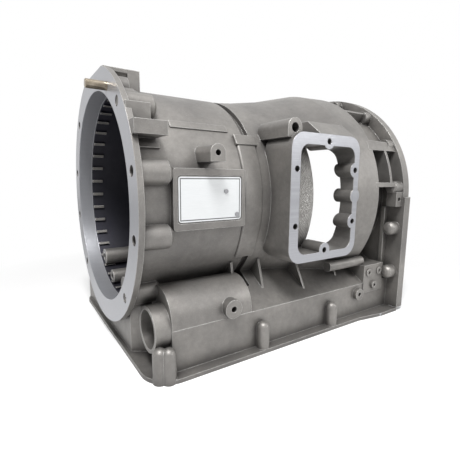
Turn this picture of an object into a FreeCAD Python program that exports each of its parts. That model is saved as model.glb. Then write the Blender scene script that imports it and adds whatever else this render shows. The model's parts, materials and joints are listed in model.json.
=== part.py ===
import FreeCAD, Part
import math
import os
import re

import Sketcher
from FreeCAD import Placement, Rotation, Vector

# Gearbox housing: one aluminium casting that carries the gear train of a heavy gearbox, with a
# round bell in front, a flared shell behind it, an oil chest below and a service window in one side.
# Frame: origin on the main axis at the front flange's machined face, +X to the rear along the axis,
# +Z up, and the window side is -Y.  Millimetres and degrees.

doc = FreeCAD.newDocument("GearboxHousing")

# ---------------------------------------------------------------------------------- driving sizes
SIZES = (
    ("axis_height", 230, "main axis above the base face"),
    ("wall", 8, "wall of the casting"),
    # front flange
    ("front_bore_radius", 164, "register in the front bore"),
    ("front_bore_depth", 24, "register, depth"),
    ("bell_inside_radius", 162, "bell behind the register, inside"),
    ("front_rim_radius", 198, "front flange, outside"),
    ("front_rim_thickness", 8, "front flange"),
    ("front_flat_height", 190, "flat on top of the front flange, above the axis"),
    ("front_bolt_circle", 182, "radius of the front bolt circle"),
    ("front_bolt_radius", 7, "front bolt holes"),
    ("near_bolt_angle", 13.3, "bolts beside the horizontal centre plane"),
    ("wide_bolt_angle", 45.7, "bolts further round"),
    ("bolt_boss_radius", 16, "bosses behind the front flange"),
    ("bolt_boss_length", 44, "their rear end, from the front face"),
    # bell
    ("bell_radius", 171, "bell, outside"),
    ("bell_length", 204, "bell, from the front face to the groove"),
    ("bell_depth", 188, "bell, inside depth"),
    ("bulkhead_thickness", 22, "wall between bell and rear shell"),
    ("bulkhead_bore_radius", 98, "opening in that wall"),
    ("groove_width", 13, "groove round the casting behind the bell"),
    ("groove_radius", 164, "bottom of the groove"),
    ("groove_middle", 191, "groove at the top of the casting"),
    # rear shell
    ("throat_station", 236, "end of the narrow part"),
    ("throat_radius", 174, "narrow part"),
    ("flare_station", 301, "middle of the flare"),
    ("flare_radius", 184, "radius there"),
    ("shoulder_station", 388, "end of the flare"),
    ("shoulder_radius", 205, "radius there"),
    ("body_end", 447, "end face of the shell's full part"),
    ("body_radius", 207, "full part at that end"),
    ("shell_root", 14, "extra wall round the front of the shell's inside"),
    ("waist_radius", 168, "between the shell and the rear flange"),
    # rear flange
    ("rear_face", 538, "rear face, from the front face"),
    ("rear_rim_thickness", 18, "rear flange"),
    ("rear_arch_radius", 212, "rear flange, arch"),
    ("rear_half_width", 216, "rear flange, straight sides"),
    ("rear_foot", 7, "foot of the rear flange above the base face"),
    ("rear_bore_radius", 150, "rear bore"),
    ("upper_waist_radius", 190, "between shell and rear flange, over the arch"),
    ("rear_bolt_circle", 197, "bolts from the axis on the arch, and from the centre plane on the sides"),
    ("rear_bolt_radius", 5.5, "rear bolt holes"),
    ("rear_boss_radius", 13, "bosses round them"),
    ("rear_boss_length", 16, "bosses in front of the rear flange"),
    ("rear_first_angle", 30, "first bolt of the arch above the horizontal"),
    ("rear_bolt_step", 24, "angle from bolt to bolt on the arch"),
    ("rear_rib_thickness", 6, "webs between shell and rear flange"),
    ("shelf_height", 88, "lower face of the side shelves above the axis"),
    ("ledge_height", 20, "lower face of the side ledges above the axis"),
    ("flange_pad_front", 500, "small square boss at the rear flange, front side"),
    ("flange_pad_inset", 6, "its face inside the flange's side"),
    ("flange_pad_depth", 20, "the square boss, across"),
    ("flange_pad_height", 28, "the square boss"),
    ("flange_pad_top", 10, "its top above the axis"),
    ("flange_pad_thread", 4, "its hole"),
    ("flange_pad_thread_depth", 14, "depth of its hole"),
    # oil chest
    ("chest_half_width", 190, "oil chest, sides"),
    ("chest_front", 14, "front wall"),
    ("chest_edge_height", 64, "upper edge of the sides above the base face"),
    ("chest_deck_height", 110, "deck where it meets the bell, above the base face"),
    ("chest_deck_half_width", 120, "inner edge of the sloping deck"),
    ("chest_nose_half_width", 101, "front wall, near edge"),
    ("chest_step", 42, "where the full width starts"),
    # base flange
    ("base_thickness", 6, "base flange"),
    ("base_front", 7, "front edge"),
    ("base_half_width", 207, "sides"),
    ("base_corner_radius", 42, "front corners"),
    ("base_widening_start", 412, "where the near side widens to the rear flange"),
    ("base_widening_end", 471, "where it has its full width"),
    ("base_bolt_offset", 197, "bolt columns from the centre plane"),
    ("base_bolt_start", 34, "first bolt column from the front face"),
    ("base_bolt_pitch", 155.5, "from column to column along the sides"),
    ("base_column_radius", 10, "bolt columns"),
    ("base_column_height", 38, "columns to the start of their dome"),
    ("base_bolt_radius", 5, "bolt holes from below"),
    ("base_bolt_depth", 34, "their depth"),
    # port and chamber in the front corner
    ("port_offset", 157, "port axis from the centre plane"),
    ("port_drop", 169, "port axis below the main axis"),
    ("port_front", 20, "mouth"),
    ("port_outer_radius", 32, "tube"),
    ("port_bore_radius", 27, "bore"),
    ("chamber_radius", 45, "chamber behind the port"),
    ("chamber_offset", 145, "chamber axis from the centre plane"),
    ("chamber_drop", 160, "chamber axis below the main axis"),
    ("chamber_end", 172, "rear end of the chamber"),
    ("chamber_boss_station", 134, "threaded boss on the chamber"),
    ("chamber_boss_face", 199, "its face from the centre plane"),
    ("chamber_boss_drop", 151, "its axis below the main axis"),
    ("chamber_boss_radius", 14, "the boss"),
    ("chamber_thread", 4.5, "its hole"),
    ("chamber_thread_depth", 19, "depth of its hole"),
    # service window
    ("window_face", 215.5, "machined face from the centre plane"),
    ("window_front", 219.5, "frame, front side"),
    ("window_rear", 373, "frame, rear side"),
    ("window_top", 102, "frame, above the axis"),
    ("window_bottom", 95, "frame, below the axis"),
    ("window_corner", 24, "frame corners"),
    ("window_depth", 60, "frame, from its face to its foot in the shell"),
    ("opening_front", 238, "opening, front side"),
    ("opening_rear", 361, "opening, rear side"),
    ("opening_top", 85, "opening, above the axis"),
    ("opening_bottom", 82, "opening, below the axis"),
    ("opening_corner", 16, "opening corners"),
    ("opening_reach", 130, "inner end of the opening from the centre plane"),
    ("window_bolt_inset", 12, "front bolts from the frame's front side"),
    ("window_bolt_spacing", 132, "bolts across the window"),
    ("window_bolt_rise", 42.6, "side bolts from the window's middle"),
    ("window_bolt_reach", 85.3, "top and bottom bolts from the window's middle"),
    ("window_middle", 6, "window's middle above the axis"),
    ("window_bolt_radius", 4.6, "window bolt holes"),
    ("window_bolt_depth", 22, "their depth"),
    ("window_boss_radius", 12, "bosses round them"),
    ("window_boss_length", 38, "bosses round the holes at the opening's edge"),
    # threaded bosses above the plate and above the window
    ("fore_station", 106.5, "boss above the plate"),
    ("fore_rise", 67, "its hole above the axis"),
    ("fore_face", 200, "its face from the centre plane"),
    ("fore_width", 11.5, "half of its width"),
    ("fore_thread", 4, "its hole"),
    ("aft_station", 232, "boss above the window"),
    ("aft_rise", 108, "its hole above the axis"),
    ("aft_face", 208, "its face from the centre plane"),
    ("aft_width", 14, "half of its width"),
    ("aft_thread", 7, "its hole"),
    ("d_boss_depth", 70, "both bosses, from face to foot"),
    ("d_boss_thread_depth", 29, "depth of both holes"),
    # lugs round the bell
    ("top_lug_end", 54, "lifting lug, rear end"),
    ("top_lug_half_width", 60, "lifting lug"),
    ("top_lug_foot", 150, "its foot above the axis"),
    ("scoop_radius", 19, "hollow along its near end"),
    ("scoop_gap", 6, "hollow, behind the front flange"),
    ("scoop_offset", 74, "hollow, from the centre plane"),
    ("scoop_rise", 172, "hollow, above the axis"),
    ("scoop_length", 22, "the hollow"),
    ("shoulder_lug_end", 32, "lug on the shoulder, rear end"),
    ("shoulder_lug_near", 160, "its outer side from the centre plane"),
    ("shoulder_lug_far", 100, "its inner side from the centre plane"),
    ("shoulder_lug_bottom", 90, "its lower side above the axis"),
    ("shoulder_lug_top", 126, "its top above the axis"),
    ("side_plate_end", 43, "plate below it, rear end"),
    ("side_plate_near", 188, "its outer side from the centre plane"),
    ("side_plate_far", 120, "its inner side from the centre plane"),
    ("side_plate_bottom", 85, "its lower side above the axis"),
    ("side_plate_thickness", 17, "the plate"),
    # deck: gussets, oil gallery, valve block and ring boss
    ("deck_rib_thickness", 4, "gussets on the deck"),
    ("deck_rib_root", 100, "gussets, inner edge from the centre plane"),
    ("deck_rib_root_drop", 108, "upper inner corner below the axis"),
    ("deck_rib_head", 144, "upper outer corner from the centre plane"),
    ("deck_rib_head_drop", 98, "upper outer corner below the axis"),
    ("deck_rib_foot_height", 60, "lower inner corner above the base face"),
    ("block_front", 441, "valve block, front side"),
    ("block_length", 59, "valve block"),
    ("block_face", 192, "its face from the centre plane"),
    ("block_depth", 52, "valve block, across"),
    ("block_top", 131, "its top below the axis"),
    ("block_height", 55, "valve block"),
    ("gallery_start", 352, "oil gallery, front end"),
    ("gallery_length", 96, "oil gallery"),
    ("gallery_radius", 9, "oil gallery"),
    ("gallery_offset", 176, "its axis from the centre plane"),
    ("gallery_drop", 124, "its axis below the main axis"),
    ("ring_boss_station", 423, "ring boss"),
    ("ring_boss_face", 198, "its face from the centre plane"),
    ("ring_boss_drop", 183, "its axis below the main axis"),
    ("ring_boss_radius", 11, "ring boss"),
    ("ring_boss_length", 30, "ring boss"),
    ("ring_thread", 4, "its hole"),
    ("ring_thread_depth", 13, "depth of its hole"),
    # name plate and its pad
    ("pad_front", 52, "plate pad, front side"),
    ("pad_length", 113, "plate pad"),
    ("pad_height", 82, "plate pad"),
    ("pad_bottom", 35, "plate pad, below the axis"),
    ("pad_face", 179, "pad face from the centre plane"),
    ("pad_root", 30, "pad, from its face to its foot in the bell"),
    ("pad_recess", 1.4, "seat for the plate"),
    ("plate_length", 98, "name plate"),
    ("plate_height", 60, "name plate"),
    ("plate_thickness", 1, "name plate"),
    ("plate_corner", 4, "name plate corners"),
    ("plate_gap", 1.5, "gap round the plate in its seat"),
    ("rivet_radius", 3.2, "plate rivets, heads"),
    ("rivet_head", 1.5, "plate rivets, heads"),
    ("rivet_shank_radius", 1.6, "plate rivets, shanks"),
    ("rivet_shank", 6, "plate rivets, shanks"),
    ("rivet_tip_gap", 0.5, "room under their tips"),
    # dowel pin
    ("dowel_radius", 6, "dowel pin"),
    ("dowel_offset", 80.9, "dowel from the centre plane"),
    ("dowel_rise", 157.4, "dowel above the axis"),
    ("dowel_reach", 28, "dowel in front of the face"),
    ("dowel_depth", 18, "dowel in its hole"),
    ("dowel_shank_radius", 6.5, "pressed end of the stepped dowel"),
    ("dowel_boss_radius", 15, "boss behind the dowel"),
)

sheet = doc.addObject("Spreadsheet::Sheet", "Sizes")
for row, (alias, number, meaning) in enumerate(SIZES, start=1):
    sheet.set("A%d" % row, meaning)
    sheet.set("B%d" % row, str(number))
    sheet.setAlias("B%d" % row, alias)
doc.recompute()
ALIASES = {alias for alias, number, meaning in SIZES}


# ---------------------------------------------------------------------------------------- helpers
def formula(text):
    """An expression for the document, from one that names the sheet's aliases alone."""
    def full(word):
        return "Sizes." + word.group() if word.group() in ALIASES else word.group()

    return re.sub(r"[a-z_]+", full, str(text))


def number(text):
    """The value of such an expression."""
    return float(sheet.evalExpression(formula(text)))


TURN = {"x": Rotation(Vector(0, 1, 0), 90), "y": Rotation(Vector(1, 0, 0), -90), "z": Rotation()}
PLANES = {"xy": Rotation(), "xz": Rotation(Vector(1, 0, 0), 90), "yz": Rotation(Vector(1, 1, 1), 120)}
NORMALS = {"x": Vector(1, 0, 0), "y": Vector(0, 1, 0), "z": Vector(0, 0, 1)}


def put(item, place, rotation=Rotation()):
    item.Placement = Placement(Vector(), rotation)
    for axis, text in zip("xyz", place):
        item.setExpression("Placement.Base." + axis, formula(text))
    return item


def cylinder(name, axis, radius, place, length):
    """A cylinder that starts at place and runs along +axis."""
    item = doc.addObject("Part::Cylinder", name)
    item.setExpression("Radius", formula(radius))
    item.setExpression("Height", formula(length))
    return put(item, place, TURN[axis])


def ball(name, radius, place):
    item = doc.addObject("Part::Sphere", name)
    item.setExpression("Radius", formula(radius))
    return put(item, place)


def box(name, low, high):
    """A box between two corners, the second one further along every axis."""
    item = doc.addObject("Part::Box", name)
    for side, start, end in zip(("Length", "Width", "Height"), low, high):
        item.setExpression(side, formula("(%s) - (%s)" % (end, start)))
    return put(item, low)


def outline(name, plane, corners):
    """A closed polygon sketch whose corners follow the sheet."""
    sketch = doc.addObject("Sketcher::SketchObject", name)
    sketch.Placement = Placement(Vector(), PLANES[plane])
    points = [Vector(number(u), number(v), 0) for u, v in corners]
    count = len(points)
    for index in range(count):
        sketch.addGeometry(Part.LineSegment(points[index], points[(index + 1) % count]), False)
    for index in range(count):
        sketch.addConstraint(Sketcher.Constraint("Coincident", index, 2, (index + 1) % count, 1))
    for index, (u, v) in enumerate(corners):
        for kind, text in (("DistanceX", u), ("DistanceY", v)):
            place = sketch.addConstraint(Sketcher.Constraint(kind, -1, 1, index, 1, number(text)))
            sketch.setExpression("Constraints[%d]" % place, formula(text))
    return sketch


def extrusion(name, plane, corners, axis, start, end):
    """A prism from a polygon, between two stations on an axis."""
    item = doc.addObject("Part::Extrusion", name)
    item.Base = outline(name + "Outline", plane, corners)
    item.DirMode = "Custom"
    item.Dir = NORMALS[axis]
    item.Solid = True
    item.setExpression("LengthFwd", formula("(%s) - (%s)" % (end, start)))
    item.setExpression("Placement.Base." + axis, formula(start))
    return item


def turned(name, stations):
    """A solid of revolution about the main axis from (station, radius) pairs."""
    item = doc.addObject("Part::Revolution", name)
    item.Source = outline(name + "Outline", "xz", stations)
    item.Axis = NORMALS["x"]
    item.Base = Vector()
    item.Angle = 360
    item.Solid = True
    return item


def fuse(name, items):
    item = doc.addObject("Part::MultiFuse", name)
    item.Shapes = items
    item.Refine = False
    return item


def common(name, items):
    item = doc.addObject("Part::MultiCommon", name)
    item.Shapes = items
    return item


def cut(name, base, tool):
    item = doc.addObject("Part::Cut", name)
    item.Base = base
    item.Tool = tool
    return item


def rounded(name, base, radius, chosen):
    """Fillets on the edges of base that the test picks."""
    doc.recompute()
    item = doc.addObject("Part::Fillet", name)
    item.Base = base
    size = number(radius)
    item.Edges = [(place, size, size) for place, edge in enumerate(base.Shape.Edges, start=1)
                  if chosen(edge)]
    return item


def chamfered(name, base, size, chosen):
    """The same with chamfers."""
    doc.recompute()
    item = doc.addObject("Part::Chamfer", name)
    item.Base = base
    width = number(size)
    item.Edges = [(place, width, width) for place, edge in enumerate(base.Shape.Edges, start=1)
                  if chosen(edge)]
    return item


def runs_along(edge, axis):
    if not isinstance(edge.Curve, Part.Line):
        return False
    return abs(abs(edge.Curve.Direction.dot(NORMALS[axis])) - 1) < 1e-6


def round_the_axis(radius, angle):
    """(y, z) on a circle round the main axis, the angle counted up from -Y."""
    return "-(%s) * cos(%s)" % (radius, angle), "(%s) * sin(%s)" % (radius, angle)


BASE = "-axis_height"


# --------------------------------------------------------------------------- solid outer forms
def front_flange():
    disc = cylinder("FrontDisc", "x", "front_rim_radius", ("0", "0", "0"), "front_rim_thickness")
    lid = box("AboveFlat", ("-1", "-front_rim_radius", "front_flat_height"),
              ("front_rim_thickness + 1", "front_rim_radius", "front_rim_radius + 1"))
    return [cut("FrontRim", disc, lid)]


def bell():
    return [cylinder("Bell", "x", "bell_radius", ("0", "0", "0"), "bell_length + wall")]


SHELL_STATIONS = (
    ("throat_station", "throat_radius"),
    ("flare_station", "flare_radius"),
    ("shoulder_station", "shoulder_radius"),
    ("body_end", "body_radius"),
)


def rear_shell():
    corners = [("bell_length", "0"), ("bell_length", "bell_radius")]
    corners += list(SHELL_STATIONS)
    corners += [("body_end", "0")]
    waist = cylinder("Waist", "x", "waist_radius", ("body_end - wall", "0", "0"),
                     "rear_face - body_end")
    return [turned("Shell", corners), waist]


def rear_flange():
    arch = cylinder("RearArch", "x", "rear_arch_radius",
                    ("rear_face - rear_rim_thickness", "0", "0"), "rear_rim_thickness")
    sides = box("RearSides",
                ("rear_face - rear_rim_thickness", "-rear_half_width", BASE + " + rear_foot"),
                ("rear_face", "rear_half_width", "0"))
    return [arch, sides]


ARCH_BOLTS = 6
SIDE_BOLT_HEIGHTS = ("ledge_height - 2", "-62", "-150")


def arch_angle(place):
    return "(rear_first_angle + %d * rear_bolt_step)" % place


def rear_bolt_spots():
    """(y, z) of every bolt in the rear flange: over the arch, then down both straight sides."""
    spots = [round_the_axis("rear_bolt_circle", arch_angle(place)) for place in range(ARCH_BOLTS)]
    for side in ("-", ""):
        spots += [(side + "rear_bolt_circle", height) for height in SIDE_BOLT_HEIGHTS]
    return spots


def rear_webs():
    """Bolt bosses in front of the rear flange, and a thin web to each one over the arch."""
    made = []
    flange_front = "rear_face - rear_rim_thickness"
    for place, (y, z) in enumerate(rear_bolt_spots(), start=1):
        made.append(cylinder("RearBoss%d" % place, "x", "rear_boss_radius",
                             (flange_front + " - rear_boss_length", y, z), "rear_boss_length + 1"))
    for place in range(ARCH_BOLTS):
        angle = arch_angle(place)
        web = doc.addObject("Part::Box", "RearWeb%d" % (place + 1))
        web.setExpression("Length", formula("rear_face - body_end - 2"))
        web.setExpression("Width", formula("rear_rib_thickness"))
        web.setExpression("Height", formula("body_radius - waist_radius + wall"))
        y, z = round_the_axis("(waist_radius - wall)", angle)
        put(web, ("body_end - 1", "%s - rear_rib_thickness / 2 * sin(%s)" % (y, angle),
                  "%s - rear_rib_thickness / 2 * cos(%s)" % (z, angle)))
        web.setExpression("Placement.Rotation.Axis.x", "1")
        web.setExpression("Placement.Rotation.Axis.y", "0")
        web.setExpression("Placement.Rotation.Axis.z", "0")
        web.setExpression("Placement.Rotation.Angle", formula("90 - " + angle))
        made.append(web)
    return made


def rear_side_webs():
    """Shelf, ledge and upright web on each side, and the fuller waist under the arch."""
    low = "body_end - wall"
    high = "rear_face - 1"
    round_body = cylinder("RearEnvelope", "x", "body_radius", (low, "0", "0"), "%s - (%s)" % (high, low))
    plates = []
    for side, near, far in (("Near", "-body_radius", "-rear_bore_radius + wall"),
                            ("Far", "rear_bore_radius - wall", "body_radius")):
        plates.append(box(side + "Shelf", (low, near, "shelf_height"),
                          (high, far, "shelf_height + 2 * wall")))
        plates.append(box(side + "Ledge", (low, near, "ledge_height"), (high, far, "ledge_height + wall")))
        plates.append(box(side + "Upright",
                          ("(body_end + rear_face) / 2 - wall", near, "ledge_height + wall / 2"),
                          ("(body_end + rear_face) / 2 - wall + rear_rib_thickness", far,
                           "shelf_height + wall")))
    webs = common("SideWebs", [round_body, fuse("SidePlates", plates)])
    crown = cylinder("CrownBar", "x", "upper_waist_radius", (low, "0", "0"), "%s - (%s)" % (high, low))
    above = box("AboveShelf", (low, "-body_radius", "shelf_height + wall"),
                (high, "body_radius", "body_radius"))
    return [webs, common("UpperWaist", [crown, above])]


def flange_pads():
    """A small threaded boss on the window side of the rear flange."""
    face = "-rear_half_width + flange_pad_inset"
    return [box("FlangePad", ("flange_pad_front", face, "flange_pad_top - flange_pad_height"),
                ("rear_face - rear_rim_thickness + 1", face + " + flange_pad_depth", "flange_pad_top"))]


def chest():
    deck = "%s + chest_deck_height" % BASE
    edge = "%s + chest_edge_height" % BASE
    side = "chest_half_width"
    inner = "chest_deck_half_width"
    section = (("-" + side, BASE), ("-" + side, edge), ("-" + inner, deck),
               (inner, deck), (side, edge), (side, BASE))
    long_part = extrusion("Chest", "yz", section, "x", "chest_step", "rear_face - 1")
    plan = (("chest_front", side), ("chest_front", "-chest_nose_half_width"),
            ("chest_step", "-%s" % inner), ("chest_step + wall", "-%s" % inner),
            ("chest_step + wall", side))
    nose = extrusion("ChestNose", "xy", plan, "z", BASE, deck)
    return [long_part, nose]


def base_flange():
    rear = "rear_face - rear_rim_thickness + 1"
    plan = (("base_front", "-base_half_width"), ("base_widening_start", "-base_half_width"),
            ("base_widening_end", "-rear_half_width"), (rear, "-rear_half_width"),
            (rear, "base_half_width"), ("base_front", "base_half_width"))
    plate = extrusion("BasePlate", "xy", plan, "z", BASE, BASE + " + base_thickness")
    front = number("base_front")
    return [rounded("BaseFlange", plate, "base_corner_radius",
                    lambda edge: runs_along(edge, "z") and abs(edge.CenterOfMass.x - front) < 1)]


def base_bolt_spots():
    """(x, y) of the base bolts: the near row ends where the flange widens, the far one at the rear."""
    spots = []
    for side, limit in (("-", "base_widening_start"), ("", "rear_face - 2 * base_column_radius")):
        room = number("(%s) - base_bolt_start" % limit)
        for place in range(int(room / number("base_bolt_pitch")) + 1):
            spots.append(("base_bolt_start + %d * base_bolt_pitch" % place, side + "base_bolt_offset"))
    return spots


def base_columns():
    """Domed columns: one round each bolt and a plain one beside the first."""
    made = []
    spots = base_bolt_spots()
    spots.append(("base_bolt_start - base_column_radius", "-base_bolt_offset + 0.6 * base_column_radius"))
    for place, spot in enumerate(spots, start=1):
        made.append(cylinder("BaseColumn%d" % place, "z", "base_column_radius",
                             spot + (BASE,), "base_column_height"))
        made.append(ball("BaseDome%d" % place, "base_column_radius",
                         spot + (BASE + " + base_column_height",)))
    return made


def port():
    """The port's tube and the chamber behind it, with a threaded boss on its side."""
    tube = cylinder("PortTube", "x", "port_outer_radius",
                    ("port_front", "-port_offset", "-port_drop"), "chest_step")
    chamber = cylinder("Chamber", "x", "chamber_radius",
                       ("chest_step", "-chamber_offset", "-chamber_drop"), "chamber_end - chest_step")
    boss = cylinder("ChamberBoss", "y", "chamber_boss_radius",
                    ("chamber_boss_station", "-chamber_boss_face", "-chamber_boss_drop"), "5 * wall")
    return [tube, chamber, boss]


# front bolts: (angle above the horizontal, side)
FRONT_BOLTS = (
    ("near_bolt_angle", 1), ("wide_bolt_angle", 1), ("-near_bolt_angle", 1), ("-wide_bolt_angle", 1),
    ("near_bolt_angle", -1), ("wide_bolt_angle", -1), ("-near_bolt_angle", -1), ("-wide_bolt_angle", -1),
)


def front_bolt_spot(angle, side, radius="front_bolt_circle"):
    y, z = round_the_axis(radius, angle)
    return "%s * %s" % (side, y), z


def front_bosses():
    made = []
    for place, (angle, side) in enumerate(FRONT_BOLTS, start=1):
        y, z = front_bolt_spot(angle, side, "(front_bolt_circle - bolt_boss_radius / 4)")
        made.append(cylinder("FrontBoss%d" % place, "x", "bolt_boss_radius", ("1", y, z),
                             "bolt_boss_length"))
    made.append(cylinder("DowelBoss", "x", "dowel_boss_radius",
                         ("1", "-dowel_offset", "dowel_rise"), "dowel_depth + wall"))
    return made


def lugs():
    """Lifting lug on top with a hollow in its near end, a lug on the shoulder and a plate below it."""
    lug = box("TopLug", ("1", "-top_lug_half_width", "top_lug_foot"),
              ("top_lug_end", "top_lug_half_width", "front_flat_height"))
    scoop = cylinder("TopScoop", "x", "scoop_radius",
                     ("front_rim_thickness + scoop_gap", "-scoop_offset", "scoop_rise"), "scoop_length")
    shoulder = box("ShoulderBoss", ("1", "-shoulder_lug_near", "shoulder_lug_bottom"),
                   ("shoulder_lug_end", "-shoulder_lug_far", "shoulder_lug_top"))
    plate = box("SidePlate", ("1", "-side_plate_near", "side_plate_bottom"),
                ("side_plate_end", "-side_plate_far", "side_plate_bottom + side_plate_thickness"))
    return [cut("TopLugScooped", lug, scoop), shoulder, plate]


# D-shaped threaded bosses on the window side, by the names of their sizes
D_BOSSES = ("fore", "aft")


def threaded_bosses():
    """Each a round nose over a square foot."""
    made = []
    for name in D_BOSSES:
        station, face, rise, half = name + "_station", "-%s_face" % name, name + "_rise", name + "_width"
        made.append(cylinder(name + "BossNose", "y", half, (station, face, rise), "d_boss_depth"))
        made.append(box(name + "BossFoot", ("%s - %s" % (station, half), face, "%s - %s" % (rise, half)),
                        ("%s + %s" % (station, half), face + " + d_boss_depth", rise)))
    return made


def plate_pad():
    pad = box("PadBlock", ("pad_front", "-pad_face", "-pad_bottom"),
              ("pad_front + pad_length", "-pad_face + pad_root", "-pad_bottom + pad_height"))
    return [rounded("PlatePad", pad, "plate_corner", lambda edge: runs_along(edge, "y"))]


def window_frame():
    depth = "-window_face + window_depth"
    frame = box("WindowBlock", ("window_front", "-window_face", "-window_bottom"),
                ("window_rear", depth, "window_top"))
    return [rounded("WindowFrame", frame, "window_corner", lambda edge: runs_along(edge, "y"))]


def window_bolts():
    front = "window_front + window_bolt_inset"
    rear = "%s + window_bolt_spacing" % front
    centre = "%s + window_bolt_spacing / 2" % front
    low = "window_middle - window_bolt_rise"
    high = "window_middle + window_bolt_rise"
    return ((front, low), (front, high), (rear, low), (rear, high),
            (centre, "window_middle - window_bolt_reach"), (centre, "window_middle + window_bolt_reach"))


def window_bosses():
    """Bosses round the bolts whose holes lie at the opening's edge."""
    made = []
    rear_low, rear_high, low, high = window_bolts()[2:]
    for place, (x, z) in enumerate((rear_low, rear_high, low, high), start=1):
        made.append(cylinder("WindowBoss%d" % place, "y", "window_boss_radius",
                             (x, "-window_face", z), "window_boss_length"))
    return made


# gussets on the deck: (station along the axis, foot from the centre plane)
DECK_RIBS = ((163, 150), (217, 158), (296, 174), (390, 164))


def deck_ribs():
    """Thin gussets between the shell and the sloping deck of the chest."""
    made = []
    slope = "(chest_deck_height - chest_edge_height) / (chest_half_width - chest_deck_half_width)"
    for place, (station, foot) in enumerate(DECK_RIBS, start=1):
        foot_z = "%s + chest_deck_height - (%s - chest_deck_half_width) * %s" % (BASE, foot, slope)
        corners = (("-deck_rib_root", "-deck_rib_root_drop"), ("-deck_rib_head", "-deck_rib_head_drop"),
                   (str(-foot), foot_z), ("-deck_rib_root", BASE + " + deck_rib_foot_height"))
        made.append(extrusion("DeckRib%d" % place, "yz", corners, "x", str(station),
                              "%d + deck_rib_thickness" % station))
    return made


def rear_block():
    """The valve block at the end of the oil gallery, and the ring boss in front of it."""
    block = box("RearBlock", ("block_front", "-block_face", "-block_top - block_height"),
                ("block_front + block_length", "-block_face + block_depth", "-block_top"))
    ring = cylinder("RingBoss", "y", "ring_boss_radius",
                    ("ring_boss_station", "-ring_boss_face", "-ring_boss_drop"), "ring_boss_length")
    gallery = cylinder("Gallery", "x", "gallery_radius",
                       ("gallery_start", "-gallery_offset", "-gallery_drop"), "gallery_length")
    return [block, ring, gallery]


# --------------------------------------------------------------------------------- hollow forms
def bell_bore():
    register = cylinder("FrontBore", "x", "front_bore_radius", ("-1", "0", "0"), "front_bore_depth + 1")
    bore = cylinder("BellBore", "x", "bell_inside_radius", ("0", "0", "0"), "bell_depth")
    through = cylinder("BulkheadBore", "x", "bulkhead_bore_radius", ("0", "0", "0"), "throat_station")
    return [register, bore, through]


def groove():
    ring = cylinder("GrooveOuter", "x", "shoulder_radius", ("groove_middle - groove_width / 2", "0", "0"),
                    "groove_width")
    core = cylinder("GrooveCore", "x", "groove_radius",
                    ("groove_middle - groove_width / 2 - 1", "0", "0"), "groove_width + 2")
    return cut("GrooveBand", ring, core)


def shell_cavity():
    """Inside of the flared shell, open to the rear through the rear bore."""
    start = "bell_depth + bulkhead_thickness"
    corners = [(start, "0"), (start, "throat_radius - wall - shell_root")]
    corners += [(station, "%s - wall" % radius) for station, radius in SHELL_STATIONS[:3]]
    corners += [("body_end - wall", "shoulder_radius - wall"), ("body_end - wall", "rear_bore_radius"),
                ("rear_face + 1", "rear_bore_radius"), ("rear_face + 1", "0")]
    return turned("ShellCavity", corners)


def chest_cavity():
    deck = "%s + chest_deck_height - wall * 1.4" % BASE
    edge = "%s + chest_edge_height - wall * 0.5" % BASE
    side = "(chest_half_width - wall)"
    inner = "(chest_deck_half_width - wall)"
    section = (("-" + side, BASE + " - 1"), ("-" + side, edge), ("-" + inner, deck),
               (inner, deck), (side, edge), (side, BASE + " - 1"))
    room = extrusion("ChestRoom", "yz", section, "x", "chest_step + wall",
                     "rear_face - rear_rim_thickness - wall")
    keep = [cylinder("KeepBell", "x", "bell_radius", ("0", "0", "0"), "throat_station")]
    corners = [("bell_length", "0"), ("bell_length", "bell_radius")]
    corners += list(SHELL_STATIONS)
    corners += [("body_end", "0")]
    keep.append(turned("KeepShell", corners))
    keep.append(cylinder("KeepWaist", "x", "waist_radius", ("body_end - wall", "0", "0"),
                         "rear_face - body_end"))
    return cut("ChestCavity", room, fuse("KeepAll", keep))


def window_opening():
    """A pocket down to the shell in front, and right through the shell's wall behind."""
    block = box("OpeningBlock", ("opening_front", "-window_face - 1", "-opening_bottom"),
                ("opening_rear", "-opening_reach", "opening_top"))
    pocket = rounded("WindowPocket", block, "opening_corner", lambda edge: runs_along(edge, "y"))
    corners = [("opening_front - 1", "0"), ("opening_front - 1", "throat_radius"),
               ("flare_station", "flare_radius"), ("flare_station", "0")]
    floor = turned("WindowFloor", corners)
    bosses = fuse("KeepWindowBosses", window_bosses())
    return cut("WindowOpening", pocket, fuse("KeepAtWindow", [floor, bosses]))


def plate_seat():
    x, y, z = plate_middle()
    across = "(plate_length / 2 + plate_gap)"
    up = "(plate_height / 2 + plate_gap)"
    seat = box("PlateSeat", ("%s - %s" % (x, across), "-pad_face - 1", "%s - %s" % (z, up)),
               ("%s + %s" % (x, across), y, "%s + %s" % (z, up)))
    return rounded("PlateSeatRound", seat, "plate_corner", lambda edge: runs_along(edge, "y"))


def side_hole(name, radius, spot, depth):
    """A hole from the window side, given the middle of its mouth."""
    x, face, z = spot
    return cylinder(name, "y", radius, (x, face + " - 1", z), depth + " + 1")


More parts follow.
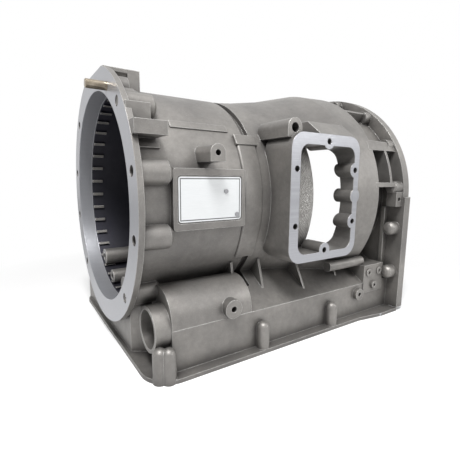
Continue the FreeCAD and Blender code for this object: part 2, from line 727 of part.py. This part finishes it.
def bolt_holes():
    made = []
    for place, (angle, side) in enumerate(FRONT_BOLTS, start=1):
        y, z = front_bolt_spot(angle, side)
        made.append(cylinder("FrontHole%d" % place, "x", "front_bolt_radius", ("-1", y, z),
                             "bolt_boss_length + wall / 2"))
    for place, (x, z) in enumerate(window_bolts(), start=1):
        made.append(side_hole("WindowHole%d" % place, "window_bolt_radius", (x, "-window_face", z),
                              "window_bolt_depth"))
    for place, spot in enumerate(base_bolt_spots(), start=1):
        made.append(cylinder("BaseHole%d" % place, "z", "base_bolt_radius", spot + (BASE + " - 1",),
                             "base_bolt_depth + 1"))
    for place, (y, z) in enumerate(rear_bolt_spots(), start=1):
        made.append(cylinder("RearHole%d" % place, "x", "rear_bolt_radius",
                             ("rear_face - rear_rim_thickness - rear_boss_length + wall / 2", y, z),
                             "rear_rim_thickness + rear_boss_length"))
    return made


def threads():
    """Holes of the threaded bosses, at the thread's core size."""
    made = [side_hole(name + "Thread", name + "_thread", (name + "_station", "-%s_face" % name, name + "_rise"),
                      "d_boss_thread_depth") for name in D_BOSSES]
    made.append(side_hole("ChamberThread", "chamber_thread",
                          ("chamber_boss_station", "-chamber_boss_face", "-chamber_boss_drop"),
                          "chamber_thread_depth"))
    made.append(side_hole("RingThread", "ring_thread",
                          ("ring_boss_station", "-ring_boss_face", "-ring_boss_drop"), "ring_thread_depth"))
    made.append(side_hole("FlangePadThread", "flange_pad_thread",
                          ("(flange_pad_front + rear_face - rear_rim_thickness) / 2",
                           "-rear_half_width + flange_pad_inset", "flange_pad_top - flange_pad_height / 2"),
                          "flange_pad_thread_depth"))
    return made


def pin_and_rivet_holes():
    made = [cylinder("DowelHole", "x", "dowel_shank_radius", ("-1", "-dowel_offset", "dowel_rise"),
                     "dowel_depth + 1")]
    x, y, z = plate_middle()
    for place, (across, up) in enumerate(PLATE_RIVETS, start=1):
        made.append(cylinder("RivetHole%d" % place, "y", "rivet_shank_radius",
                             (x + " + " + across, "-pad_face", z + " + " + up),
                             "pad_recess - plate_thickness + rivet_shank + rivet_tip_gap"))
    return made


def casting():
    outer = []
    for maker in (front_flange, bell, rear_shell, rear_flange, rear_webs, rear_side_webs, flange_pads,
                  chest, base_flange, base_columns, port, front_bosses, lugs, threaded_bosses,
                  plate_pad, window_frame, deck_ribs, rear_block):
        outer += maker()
    body = fuse("OuterForm", outer)
    port_bore = cylinder("PortBore", "x", "port_bore_radius",
                         ("port_front - 1", "-port_offset", "-port_drop"), "chest_step + wall + 2 - port_front")
    hollows = bell_bore() + [shell_cavity(), chest_cavity(), port_bore, groove(), window_opening(), plate_seat()]
    hollow = fuse("HollowForm", hollows + bolt_holes() + threads() + pin_and_rivet_holes())
    final = cut("Housing", body, hollow)
    final.Label = "housing"
    return final


# ------------------------------------------------------------------------------- separate pieces
def dowel_pin():
    """A stepped dowel: the free end takes the mating part, the thicker end is pressed in."""
    free = cylinder("DowelFree", "x", "dowel_radius", ("-dowel_reach", "-dowel_offset", "dowel_rise"),
                    "dowel_reach + wall")
    shank = cylinder("DowelShank", "x", "dowel_shank_radius", ("0", "-dowel_offset", "dowel_rise"),
                     "dowel_depth")
    pin = fuse("DowelBar", [free, shank])
    item = chamfered("DowelPin", pin, "1", lambda edge: edge.CenterOfMass.x < -1
                     and isinstance(edge.Curve, Part.Circle))
    item.Label = "dowel_pin"
    return item


PLATE_RIVETS = (("plate_length * 0.24", "plate_height * 0.17"), ("plate_length * 0.43", "-plate_height * 0.38"))


def plate_middle():
    """Middle of the name plate, on its seat."""
    return ("pad_front + pad_length / 2", "-pad_face + pad_recess", "-pad_bottom + pad_height / 2")


def name_plate():
    """The bare plate, drilled for its rivets."""
    x, y, z = plate_middle()
    blank = box("PlateBlank", (x + " - plate_length / 2", y + " - plate_thickness", z + " - plate_height / 2"),
                (x + " + plate_length / 2", y, z + " + plate_height / 2"))
    sheet_metal = rounded("PlateRound", blank, "plate_corner", lambda edge: runs_along(edge, "y"))
    holes = [cylinder("PlateHole%d" % place, "y", "rivet_shank_radius",
                      (x + " + " + across, y + " - plate_thickness - 1", z + " + " + up), "plate_thickness + 2")
             for place, (across, up) in enumerate(PLATE_RIVETS, start=1)]
    item = cut("NamePlate", sheet_metal, fuse("PlateHoles", holes))
    item.Label = "name_plate"
    return item


def plate_rivets():
    """Drive rivets that hold the plate, each a flat head on a shank in the casting."""
    x, y, z = plate_middle()
    made = []
    for place, (across, up) in enumerate(PLATE_RIVETS, start=1):
        spot = (x + " + " + across, y + " - plate_thickness", z + " + " + up)
        head = cylinder("RivetHead%d" % place, "y", "rivet_radius",
                        (spot[0], spot[1] + " - rivet_head", spot[2]), "rivet_head")
        shank = cylinder("RivetShank%d" % place, "y", "rivet_shank_radius", spot, "rivet_shank")
        item = fuse("PlateRivet%d" % place, [head, shank])
        item.Label = "plate_rivet_%d" % place
        made.append(item)
    return made


def casting_pieces():
    return [casting(), dowel_pin(), name_plate()] + plate_rivets()


def main():
    parts = casting_pieces()
    doc.recompute()
    for item in doc.Objects:
        if "Invalid" in item.State or "Error" in item.State:
            raise RuntimeError("%s failed: %s" % (item.Name, item.State))
    os.makedirs("parts", exist_ok=True)
    for item in parts:
        shape = item.Shape
        if shape.isNull() or not shape.isValid():
            raise RuntimeError("%s has no valid shape" % item.Label)
        print(item.Label, "solids", len(shape.Solids), "faces", len(shape.Faces), "volume",
              round(shape.Volume))
        shape.exportStep("parts/%s.step" % item.Label)


main()
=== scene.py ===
import json
import math

import bmesh
import bpy
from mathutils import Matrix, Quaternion, Vector


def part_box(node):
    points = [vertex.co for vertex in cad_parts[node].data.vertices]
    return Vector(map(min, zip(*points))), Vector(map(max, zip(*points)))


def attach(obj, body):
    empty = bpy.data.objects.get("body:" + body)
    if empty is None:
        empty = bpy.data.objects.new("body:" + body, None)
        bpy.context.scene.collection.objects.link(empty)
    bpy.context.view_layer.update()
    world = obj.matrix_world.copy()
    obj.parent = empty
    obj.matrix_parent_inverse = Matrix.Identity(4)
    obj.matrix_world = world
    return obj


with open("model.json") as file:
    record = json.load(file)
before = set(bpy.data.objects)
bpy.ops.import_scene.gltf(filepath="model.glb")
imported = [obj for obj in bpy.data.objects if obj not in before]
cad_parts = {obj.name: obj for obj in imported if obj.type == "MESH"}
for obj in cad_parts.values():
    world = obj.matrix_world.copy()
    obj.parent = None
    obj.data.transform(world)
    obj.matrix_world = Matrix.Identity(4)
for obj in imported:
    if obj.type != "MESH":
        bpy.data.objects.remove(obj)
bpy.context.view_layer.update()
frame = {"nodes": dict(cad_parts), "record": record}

# Looks of a cast gearbox housing.  Metres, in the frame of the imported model: origin on the main axis
# at the front flange's face, +X to the rear, +Z up, the service window on the -Y side.

MM = 0.001
NODES = frame["nodes"]
LOW, HIGH = (Vector(corner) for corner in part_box("housing"))
MOUNTS = {mount["name"]: mount for mount in frame["record"]["mounts"]}


# -------------------------------------------------------------------------------- shader helpers
class Shader:
    """A node material with short calls for the nodes that the finishes share."""

    def __init__(self, name):
        self.material = bpy.data.materials.new(name)
        self.material.use_nodes = True
        self.tree = self.material.node_tree
        self.surface = self.tree.nodes["Principled BSDF"]
        self.place = self.make("ShaderNodeTexCoord").outputs["Object"]

    def make(self, kind, **settings):
        item = self.tree.nodes.new(kind)
        for name, value in settings.items():
            setattr(item, name, value)
        return item

    def feed(self, socket, value):
        if isinstance(value, bpy.types.NodeSocket):
            self.tree.links.new(value, socket)
        else:
            socket.default_value = value

    def math(self, operation, first, second=0.0, third=0.0, clamp=False):
        item = self.make("ShaderNodeMath", operation=operation, use_clamp=clamp)
        for socket, value in zip(item.inputs, (first, second, third)):
            self.feed(socket, value)
        return item.outputs[0]

    def noise(self, scale, detail=2.0, roughness=0.5, place=None):
        """Smooth noise about 0.5; scale is in waves per metre."""
        item = self.make("ShaderNodeTexNoise")
        self.feed(item.inputs["Vector"], place or self.place)
        self.feed(item.inputs["Scale"], scale)
        self.feed(item.inputs["Detail"], detail)
        self.feed(item.inputs["Roughness"], roughness)
        return item.outputs["Fac"]

    def ramp(self, value, low, high, start=0.0, end=1.0):
        """A value that runs from start to end as the input goes from low to high."""
        item = self.make("ShaderNodeMapRange")
        for name, number in (("From Min", low), ("From Max", high), ("To Min", start), ("To Max", end)):
            self.feed(item.inputs[name], number)
        self.feed(item.inputs["Value"], value)
        return item.outputs["Result"]

    def blend(self, share, first, second):
        """A colour that goes from first to second."""
        item = self.make("ShaderNodeMix", data_type="RGBA")
        self.feed(item.inputs["Factor"], share)
        self.feed(item.inputs[6], first)
        self.feed(item.inputs[7], second)
        return item.outputs[2]

    def split(self, vector):
        item = self.make("ShaderNodeSeparateXYZ")
        self.feed(item.inputs[0], vector)
        return item.outputs

    def near(self, value, target, reach):
        """1 where the value is within reach of the target."""
        return self.math("COMPARE", value, target, reach)

    def bump(self, height, depth, normal=None):
        """A relief of the given depth in metres."""
        item = self.make("ShaderNodeBump")
        self.feed(item.inputs["Height"], height)
        self.feed(item.inputs["Distance"], depth)
        self.feed(item.inputs["Strength"], 1.0)
        if normal is not None:
            self.feed(item.inputs["Normal"], normal)
        return item.outputs["Normal"]

    def soft_edges(self, radius):
        item = self.make("ShaderNodeBevel", samples=4)
        self.feed(item.inputs["Radius"], radius)
        return item.outputs["Normal"]

    def worn_edges_and_highlight(self, soft_normal):
        """1 on edges, where the softened normal leaves the flat one."""
        flat = self.make("ShaderNodeNewGeometry").outputs["Normal"]
        item = self.make("ShaderNodeVectorMath", operation="DOT_PRODUCT")
        self.feed(item.inputs[0], soft_normal)
        self.feed(item.inputs[1], flat)
        return self.ramp(item.outputs["Value"], 0.995, 0.9)

    def shelter(self, reach):
        """1 in the open and 0 deep in corners and pockets."""
        item = self.make("ShaderNodeAmbientOcclusion", samples=6)
        self.feed(item.inputs["Distance"], reach)
        return item.outputs["AO"]

    def finish(self, colour, roughness, normal, metallic):
        self.feed(self.surface.inputs["Base Color"], colour)
        self.feed(self.surface.inputs["Roughness"], roughness)
        self.feed(self.surface.inputs["Normal"], normal)
        self.feed(self.surface.inputs["Metallic"], metallic)
        return self.material


def linear(red, green, blue):
    """A display colour from 0 to 255 as the shader's linear colour."""
    return tuple(((value / 255 + 0.055) / 1.055) ** 2.4 for value in (red, green, blue)) + (1.0,)


# -------------------------------------------------------------------------------------- finishes
def machined_mask(shader):
    """1 on the faces that were milled or bored after casting."""
    x, y, z = shader.split(shader.place)
    normal = shader.make("ShaderNodeNewGeometry").outputs["True Normal"]
    facing_x, facing_y, facing_z = shader.split(normal)
    reach = 0.3 * MM
    faces = [
        (x, 0.0, facing_x, -1.0),
        (x, HIGH.x, facing_x, 1.0),
        (z, LOW.z, facing_z, -1.0),
        (y, MOUNTS["window_face"]["pos_m"][1], facing_y, -1.0),
    ]
    mask = 0.0
    for place, level, facing, sign in faces:
        on_plane = shader.near(place, level, reach)
        faces_out = shader.near(facing, sign, 0.02)
        mask = shader.math("MAXIMUM", mask, shader.math("MULTIPLY", on_plane, faces_out))
    radius = shader.math("SQRT", shader.math("ADD", shader.math("MULTIPLY", y, y),
                                             shader.math("MULTIPLY", z, z)))
    for name in ("front_bore", "bulkhead_bore", "rear_bore"):
        wall = shader.near(radius, MOUNTS[name]["dims"]["r_mm"] * MM, 0.4 * MM)
        flat = shader.near(facing_x, 0.0, 0.02)
        span = shader.near(x, MOUNTS[name]["pos_m"][0], MOUNTS[name]["dims"]["length_mm"] * MM)
        on_wall = shader.math("MULTIPLY", wall, flat)
        mask = shader.math("MAXIMUM", mask, shader.math("MULTIPLY", on_wall, span))
    return mask, radius


def cast_aluminium():
    """Blasted casting: stains, mottle and grain, edges lightened as wear and as a painted highlight, painted
    shade in corners and inside the bell, milled faces.
    """
    shader = Shader("cast_aluminium")
    machined, radius = machined_mask(shader)
    stains = shader.noise(9.0, 4.0, 0.6)
    mottle = shader.noise(120.0, 5.0, 0.65)
    grain = shader.noise(900.0, 3.0, 0.7)
    tone = shader.blend(shader.ramp(stains, 0.3, 0.7), linear(106, 104, 102), linear(142, 139, 135))
    tone = shader.blend(shader.ramp(mottle, 0.35, 0.75, 0.0, 0.35), tone, linear(92, 89, 86))
    tone = shader.blend(shader.ramp(grain, 0.55, 0.8, 0.0, 0.35), tone, linear(190, 188, 186))
    rings = shader.make("ShaderNodeTexNoise", noise_dimensions="1D")
    shader.feed(rings.inputs["W"], radius)
    shader.feed(rings.inputs["Scale"], 2500.0)
    milled = shader.blend(rings.outputs["Fac"], linear(146, 147, 152), linear(172, 173, 177))
    x = shader.split(shader.place)[0]
    soft = shader.soft_edges(1.4 * MM)
    # Edges lightened towards pale grey: partly wear, partly a painted highlight where light catches the
    # rounded edges.
    edge = shader.math("MULTIPLY", shader.worn_edges_and_highlight(soft), shader.ramp(mottle, 0.3, 0.6, 0.35, 1.0))
    tone = shader.blend(shader.math("MULTIPLY", edge, 0.75), tone, linear(214, 213, 210))
    # Painted shade: ambient occlusion darkens corners, creases and pockets towards a near black.
    painted_crease_shade = shader.ramp(shader.shelter(22 * MM), 0.35, 0.9, 0.62, 0.0)
    tone = shader.blend(painted_crease_shade, tone, linear(52, 50, 50))
    # Painted shade: the inside wall of the bell, behind the splines, is coloured dark navy.
    inside = shader.math("MULTIPLY", shader.math("LESS_THAN", radius, (BELL_INSIDE + 1.6) * MM),
                         shader.math("GREATER_THAN", radius, (SPLINE_RADIUS + 0.4) * MM))
    dark_start, dark_end = 20, 192
    in_bell = shader.near(x, (dark_start + dark_end) / 2 * MM, (dark_end - dark_start) / 2 * MM)
    painted_bell_shade = shader.math("MULTIPLY", inside, in_bell)
    tone = shader.blend(shader.math("MULTIPLY", painted_bell_shade, 0.86), tone, linear(22, 23, 40))
    colour = shader.blend(machined, tone, milled)
    rough = shader.ramp(machined, 0.0, 1.0, 0.46, 0.34)
    height = shader.math("MULTIPLY", grain, shader.ramp(machined, 0.0, 1.0, 1.0, 0.1))
    coarse = shader.bump(mottle, 0.3 * MM, soft)
    normal = shader.bump(height, 0.12 * MM, coarse)
    return shader.finish(colour, rough, normal, 0.6)


def ground_steel():
    shader = Shader("ground_steel")
    stretched = shader.make("ShaderNodeVectorMath", operation="MULTIPLY")
    shader.feed(stretched.inputs[0], shader.place)
    stretched.inputs[1].default_value = (3.0, 1.0, 1.0)
    scratches = shader.noise(700.0, 4.0, 0.6, stretched.outputs[0])
    stain = shader.noise(140.0, 3.0)
    tone = shader.blend(stain, linear(112, 100, 84), linear(182, 172, 156))
    rough = shader.ramp(scratches, 0.3, 0.7, 0.22, 0.38)
    normal = shader.bump(scratches, 0.02 * MM, shader.soft_edges(0.4 * MM))
    return shader.finish(tone, rough, normal, 0.9)


def plate_sheet():
    """The bare plate: pale satin with a darker line just inside its edge."""
    shader = Shader("plate_sheet")
    low, high = (Vector(corner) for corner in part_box("name_plate"))
    x, _, z = shader.split(shader.place)
    edges = []
    for value, start, end in ((x, low.x, high.x), (z, low.z, high.z)):
        edges.append(shader.math("SUBTRACT", value, start))
        edges.append(shader.math("SUBTRACT", end, value))
    distance = edges[0]
    for edge in edges[1:]:
        distance = shader.math("MINIMUM", distance, edge)
    line = shader.near(distance, 2.6 * MM, 0.7 * MM)
    brushed = shader.make("ShaderNodeVectorMath", operation="MULTIPLY")
    shader.feed(brushed.inputs[0], shader.place)
    brushed.inputs[1].default_value = (0.05, 1.0, 1.0)
    streaks = shader.noise(2500.0, 2.0, 0.5, brushed.outputs[0])
    tone = shader.blend(streaks, linear(204, 206, 207), linear(220, 222, 223))
    colour = shader.blend(line, tone, linear(92, 92, 94))
    rough = shader.ramp(streaks, 0.3, 0.7, 0.35, 0.5)
    normal = shader.bump(streaks, 0.01 * MM, shader.soft_edges(0.3 * MM))
    return shader.finish(colour, rough, normal, 0.35)


def rivet_metal():
    shader = Shader("rivet_metal")
    spots = shader.noise(1200.0, 3.0, 0.6)
    tone = shader.blend(spots, linear(120, 120, 122), linear(175, 175, 178))
    rough = shader.ramp(spots, 0.3, 0.7, 0.3, 0.5)
    normal = shader.bump(spots, 0.03 * MM, shader.soft_edges(0.4 * MM))
    return shader.finish(tone, rough, normal, 0.8)


# ----------------------------------------------------------------------------------- added forms
AXES = {"x": Vector((1, 0, 0)), "y": Vector((0, 1, 0)), "z": Vector((0, 0, 1))}


def cast_piece(name, work, material):
    """A piece of the casting from a finished bmesh."""
    bmesh.ops.recalc_face_normals(work, faces=work.faces)
    mesh = bpy.data.meshes.new(name)
    work.to_mesh(mesh)
    work.free()
    mesh.materials.append(material)
    item = bpy.data.objects.new(name, mesh)
    bpy.context.scene.collection.objects.link(item)
    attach(item, "root")
    return item


def break_edges(item, width, angle):
    """Real rounded edges on a piece or a node; the width is in millimetres."""
    bevel = item.modifiers.new("edges", "BEVEL")
    bevel.width = width * MM
    bevel.segments = 2
    bevel.angle_limit = math.radians(angle)


class Form:
    """One piece made of closed solids, given in millimetres."""

    def __init__(self, name):
        self.name = name
        self.work = bmesh.new()

    def skin(self, rings, closed):
        """Faces between neighbouring rings of points, which are joined in a loop or capped."""
        rows = [[self.work.verts.new(point * MM) for point in ring] for ring in rings]
        pairs = list(zip(rows, rows[1:] + rows[:1])) if closed else list(zip(rows, rows[1:]))
        for first, second in pairs:
            for here in range(len(first)):
                there = (here + 1) % len(first)
                self.work.faces.new((first[here], first[there], second[there], second[here]))
        if not closed:
            self.work.faces.new(rows[0][::-1])
            self.work.faces.new(rows[-1])

    def prism(self, axis, corners, start, end):
        """A polygon in the other two axes, in their order, pulled from start to end."""
        across, up = (AXES[name] for name in "xyz" if name != axis)
        self.skin([[AXES[axis] * level + across * u + up * v for u, v in corners] for level in (start, end)],
                  False)

    def lathe(self, axis, foot, stations, steps=28):
        """A turned solid on an axis through foot; its stations are (distance along, radius)."""
        first, second = (AXES[name] for name in "xyz" if name != axis)
        turns = [2 * math.pi * step / steps for step in range(steps)]
        self.skin([[foot + AXES[axis] * along + (first * math.cos(turn) + second * math.sin(turn)) * radius
                    for turn in turns] for along, radius in stations], False)

    def sector(self, profile, start, end, steps):
        """An (x, radius) outline swept about the main axis, between angles counted up from -Y."""
        turns = [math.radians(start + (end - start) * step / steps) for step in range(steps + 1)]
        self.skin([[Vector((x, -radius * math.cos(turn), radius * math.sin(turn))) for x, radius in profile]
                   for turn in turns], False)

    def finish(self, material, edge=0.8):
        """The piece itself, with its edges broken where a width is given."""
        item = cast_piece(self.name, self.work, material)
        if edge:
            break_edges(item, edge, 38)


def pattern_spots(name):
    """(y, z) in millimetres of the holes in a bolt pattern on a front or rear face."""
    mount = MOUNTS[name]
    middle = Vector(mount["pos_m"]) / MM
    half_y = mount["dims"].get("spacing_x_mm", 0) / 2
    half_z = mount["dims"].get("spacing_y_mm", 0) / 2
    return sorted({(middle.y + side * half_y, middle.z + up * half_z) for side in (-1, 1) for up in (-1, 1)})


# sizes of the casting that the record doesn't hold, in millimetres
BELL = 171
BELL_INSIDE = 162
SPLINE_RADIUS = 158
FRONT_BOSS_END = 45
FRONT_BOSS_RADIUS = 16
REAR_BOSS_START = 504
REAR_BOSS_RADIUS = 13


def angle_at(height, radius):
    """The angle above the horizontal at which a round form reaches a height."""
    return math.degrees(math.asin(height / radius))


def boss_domes(material):
    """Domed ends on the bolt bosses behind the front flange and before the rear one."""
    form = Form("boss_domes")
    for name in ("front_bolts_middle", "front_bolts_outer"):
        for y, z in pattern_spots(name):
            inward = 1 - 4 / math.hypot(y, z)
            form.lathe("x", Vector((FRONT_BOSS_END - 1, y * inward, z * inward)),
                       ((0, FRONT_BOSS_RADIUS), (2, FRONT_BOSS_RADIUS - 1), (5, 12.5), (7, 8)))
    for name in ("rear_bolts_sides", "rear_bolts_middle"):
        for y, z in pattern_spots(name):
            form.lathe("x", Vector((REAR_BOSS_START + 1, y, z)),
                       ((0, REAR_BOSS_RADIUS), (-3, REAR_BOSS_RADIUS - 1), (-6, 9), (-8, 4)))
    form.finish(material, 0)


def bell_details(material):
    """The panel beside the groove with its ledge, the strip along the bell and the shoulder lug."""
    form = Form("bell_details")
    panel, ledge, strip, lug = 174, 176, 173, 188
    panel_low, panel_high, ledge_high = -90, 84, 100
    under = BELL - 4
    in_groove = BELL - 7
    form.sector(((168, under), (168, panel - 2), (170, panel), (201, panel), (203, panel - 2),
                 (203, in_groove)), angle_at(panel_low, panel), angle_at(panel_high, panel), 24)
    form.sector(((166, under), (166, ledge), (206, ledge), (206, in_groove)),
                angle_at(panel_high, panel), angle_at(ledge_high, ledge), 4)
    root = BELL - 3
    form.sector(((67, root), (67, strip), (160, strip), (160, root)),
                angle_at(103, strip), angle_at(113, strip), 3)
    form.sector(((8, root), (8, strip + 2), (44, strip + 2), (44, root)),
                angle_at(72, strip + 2), angle_at(79, strip + 2), 3)
    form.sector(((1, root), (1, lug), (26, lug), (33, lug - 3), (37, lug - 10), (37, root)),
                angle_at(100, lug), angle_at(152, lug), 10)
    bar_offset, bar_radius = -123, 9
    for bar_height in (-121, -139):
        form.lathe("x", Vector((1, bar_offset, bar_height)),
                   ((0, bar_radius), (34, bar_radius), (37, bar_radius - 2), (39, bar_radius - 5)))
    form.finish(material)


def window_details(material):
    """The hood over the window frame and the plain boss between the bolts of its rear side."""
    form = Form("window_details")
    form.prism("x", ((-213, 96), (-212, 101), (-180, 125), (-150, 125), (-150, 96)), 285, 368)
    face = MOUNTS["window_face"]["pos_m"][1] / MM
    form.lathe("y", Vector((367, face + 0.1, 6)), ((0, 12), (36, 12)))
    form.finish(material)


def hatch(material):
    """Crossed ridges on the shell's wall inside the window frame."""
    start, end, low, high = 239, 299, -80, 83
    wall_start, wall_radius, wall_slope = 237, 174, 10 / 64
    pitch, ridge_height, ridge_share, lift = 5.0, 0.9, 0.45, 0.15
    columns, rows = 75, 200
    work = bmesh.new()
    grid = []
    for column in range(columns + 1):
        x = start + (end - start) * column / columns
        radius = wall_radius + (x - wall_start) * wall_slope
        line = []
        for row in range(rows + 1):
            z = low + (high - low) * row / rows
            waves = [abs(((x + sign * z) / pitch) % 1 - 0.5) * 2 for sign in (-1, 1)]
            rise = ridge_height * max(0.0, max(waves) - (1 - ridge_share)) / ridge_share
            reach = radius + rise + lift
            line.append(work.verts.new(Vector((x, -math.sqrt(reach ** 2 - z ** 2), z)) * MM))
        grid.append(line)
    for column in range(columns):
        for row in range(rows):
            work.faces.new((grid[column][row], grid[column][row + 1],
                            grid[column + 1][row + 1], grid[column + 1][row]))
    item = cast_piece("window_hatch", work, material)
    backing = item.modifiers.new("backing", "SOLIDIFY")
    backing.thickness = 0.6 * MM


def bell_inside(material):
    """A ring of short splines behind the register, and bosses along the bottom of the bell."""
    form = Form("bell_splines")
    count, start, end, root = 38, 24, 44, BELL_INSIDE + 1
    for place in range(count):
        turn = 360 * place / count
        form.sector(((start, root), (start, SPLINE_RADIUS), (end, SPLINE_RADIUS), (end, root)),
                    turn - 1, turn + 1, 1)
    form.finish(material, 0.5)
    bosses = Form("bell_bosses")
    for turn, radius, end in ((-78, 17, 60), (-62, 12, 52), (-106, 13, 70), (-128, 15, 56)):
        reach = BELL_INSIDE - radius * 0.8
        spot = Vector((26, -reach * math.cos(math.radians(turn)), reach * math.sin(math.radians(turn))))
        hole = radius * 0.45
        bosses.lathe("x", spot, ((14, 3), (14, hole), (0, hole), (0, radius), (end, radius), (end + 4, 3)))
    bosses.finish(material, 0.8)


def rear_details(material):
    """Upright bars inside the rims of the rear flange, and small drilled bosses on the valve block."""
    form = Form("rear_details")
    outer, inner, low, high = 183, 175, -222, -20
    for side in (-1, 1):
        rim, inside = side * outer, side * inner
        form.prism("x", ((rim, low), (inside, low), (inside, high), (rim, high)), 508, 521)
    for spot in (Vector((470, -197, -172)), Vector((455, -194.5, -146)), Vector((487, -194.5, -146))):
        form.lathe("y", spot, ((9, 1), (9, 3), (0, 3), (0, 7.5), (7, 8), (12, 8)))
    form.finish(material, 0.5)


def dress(node, material):
    item = NODES[node]
    if not item.data.materials:
        item.data.materials.append(material)
    for slot in item.material_slots:
        slot.material = material


aluminium = cast_aluminium()
dress("housing", aluminium)
break_edges(NODES["housing"], 1.0, 40)
for maker in (boss_domes, bell_details, window_details, hatch, bell_inside, rear_details):
    maker(aluminium)
dress("dowel_pin", ground_steel())
dress("name_plate", plate_sheet())
rivets = rivet_metal()
for name in ("plate_rivet_1", "plate_rivet_2"):
    dress(name, rivets)


# ---------------------------------------------------------------------------------------- studio
CENTRE = (LOW + HIGH) / 2


def aim(item, target):
    item.rotation_mode = "QUATERNION"
    item.rotation_quaternion = (Vector(target) - item.location).to_track_quat("-Z", "Y")


def camera():
    """An eye in front of the window side, near the bell, that looks a little down."""
    yaw, pitch, roll = 0.582, -0.151, -0.007
    data = bpy.data.cameras.new("eye")
    data.sensor_width = 36.0
    data.lens = 26.69
    data.clip_start = 0.01
    item = bpy.data.objects.new("eye", data)
    bpy.context.scene.collection.objects.link(item)
    item.location = (-0.12696, -0.58287, 0.0344)
    ahead = Vector((math.sin(yaw) * math.cos(pitch), math.cos(yaw) * math.cos(pitch), math.sin(pitch)))
    item.rotation_mode = "QUATERNION"
    item.rotation_quaternion = ahead.to_track_quat("-Z", "Y") @ Quaternion((0, 0, 1), -roll)
    bpy.context.scene.camera = item


def lamp(name, place, size, power):
    data = bpy.data.lights.new(name, "AREA")
    data.size = size
    data.energy = power
    item = bpy.data.objects.new(name, data)
    bpy.context.scene.collection.objects.link(item)
    item.location = place
    aim(item, CENTRE)


def white_ground():
    """A white floor that keeps the object's shadow and fades to pure white further out."""
    reach = 4.0
    bpy.ops.mesh.primitive_plane_add(size=2 * reach, location=(CENTRE.x, CENTRE.y, LOW.z - 0.05 * MM))
    floor = bpy.context.object
    floor.name = "floor"
    shader = Shader("floor_white")
    shader.feed(shader.surface.inputs["Base Color"], (0.93, 0.93, 0.93, 1.0))
    shader.feed(shader.surface.inputs["Roughness"], 0.9)
    length = shader.make("ShaderNodeVectorMath", operation="LENGTH")
    shader.feed(length.inputs[0], shader.place)
    seen = shader.make("ShaderNodeLightPath").outputs["Is Camera Ray"]
    share = shader.math("MULTIPLY", seen, shader.ramp(length.outputs["Value"], 0.35, 0.75))
    glow = shader.make("ShaderNodeEmission")
    glow.inputs["Strength"].default_value = 1.0
    mixed = shader.make("ShaderNodeMixShader")
    shader.feed(mixed.inputs[0], share)
    shader.feed(mixed.inputs[1], shader.surface.outputs[0])
    shader.feed(mixed.inputs[2], glow.outputs[0])
    output = shader.tree.nodes["Material Output"]
    shader.feed(output.inputs["Surface"], mixed.outputs[0])
    floor.data.materials.append(shader.material)


def white_world():
    world = bpy.data.worlds.new("studio")
    bpy.context.scene.world = world
    world.use_nodes = True
    tree = world.node_tree
    light = tree.nodes.new("ShaderNodeLightPath")
    direct = tree.nodes.new("ShaderNodeMath")
    direct.operation = "MAXIMUM"
    tree.links.new(light.outputs["Is Camera Ray"], direct.inputs[0])
    tree.links.new(light.outputs["Is Transmission Ray"], direct.inputs[1])
    both = tree.nodes.new("ShaderNodeMath")
    both.operation = "MAXIMUM"
    tree.links.new(direct.outputs[0], both.inputs[0])
    tree.links.new(light.outputs["Is Glossy Ray"], both.inputs[1])
    level = tree.nodes.new("ShaderNodeMapRange")
    level.inputs["To Min"].default_value = 0.28
    level.inputs["To Max"].default_value = 1.0
    tree.links.new(both.outputs[0], level.inputs["Value"])
    tree.links.new(level.outputs["Result"], tree.nodes["Background"].inputs["Strength"])
    tree.nodes["Background"].inputs["Color"].default_value = (1.0, 1.0, 1.0, 1.0)


bpy.context.scene.view_settings.view_transform = "Standard"
camera()
white_world()
white_ground()
lamp("key", (-0.35, -0.75, 1.5), 0.5, 42.0)
lamp("fill", (1.3, -1.3, 0.7), 0.8, 9.0)
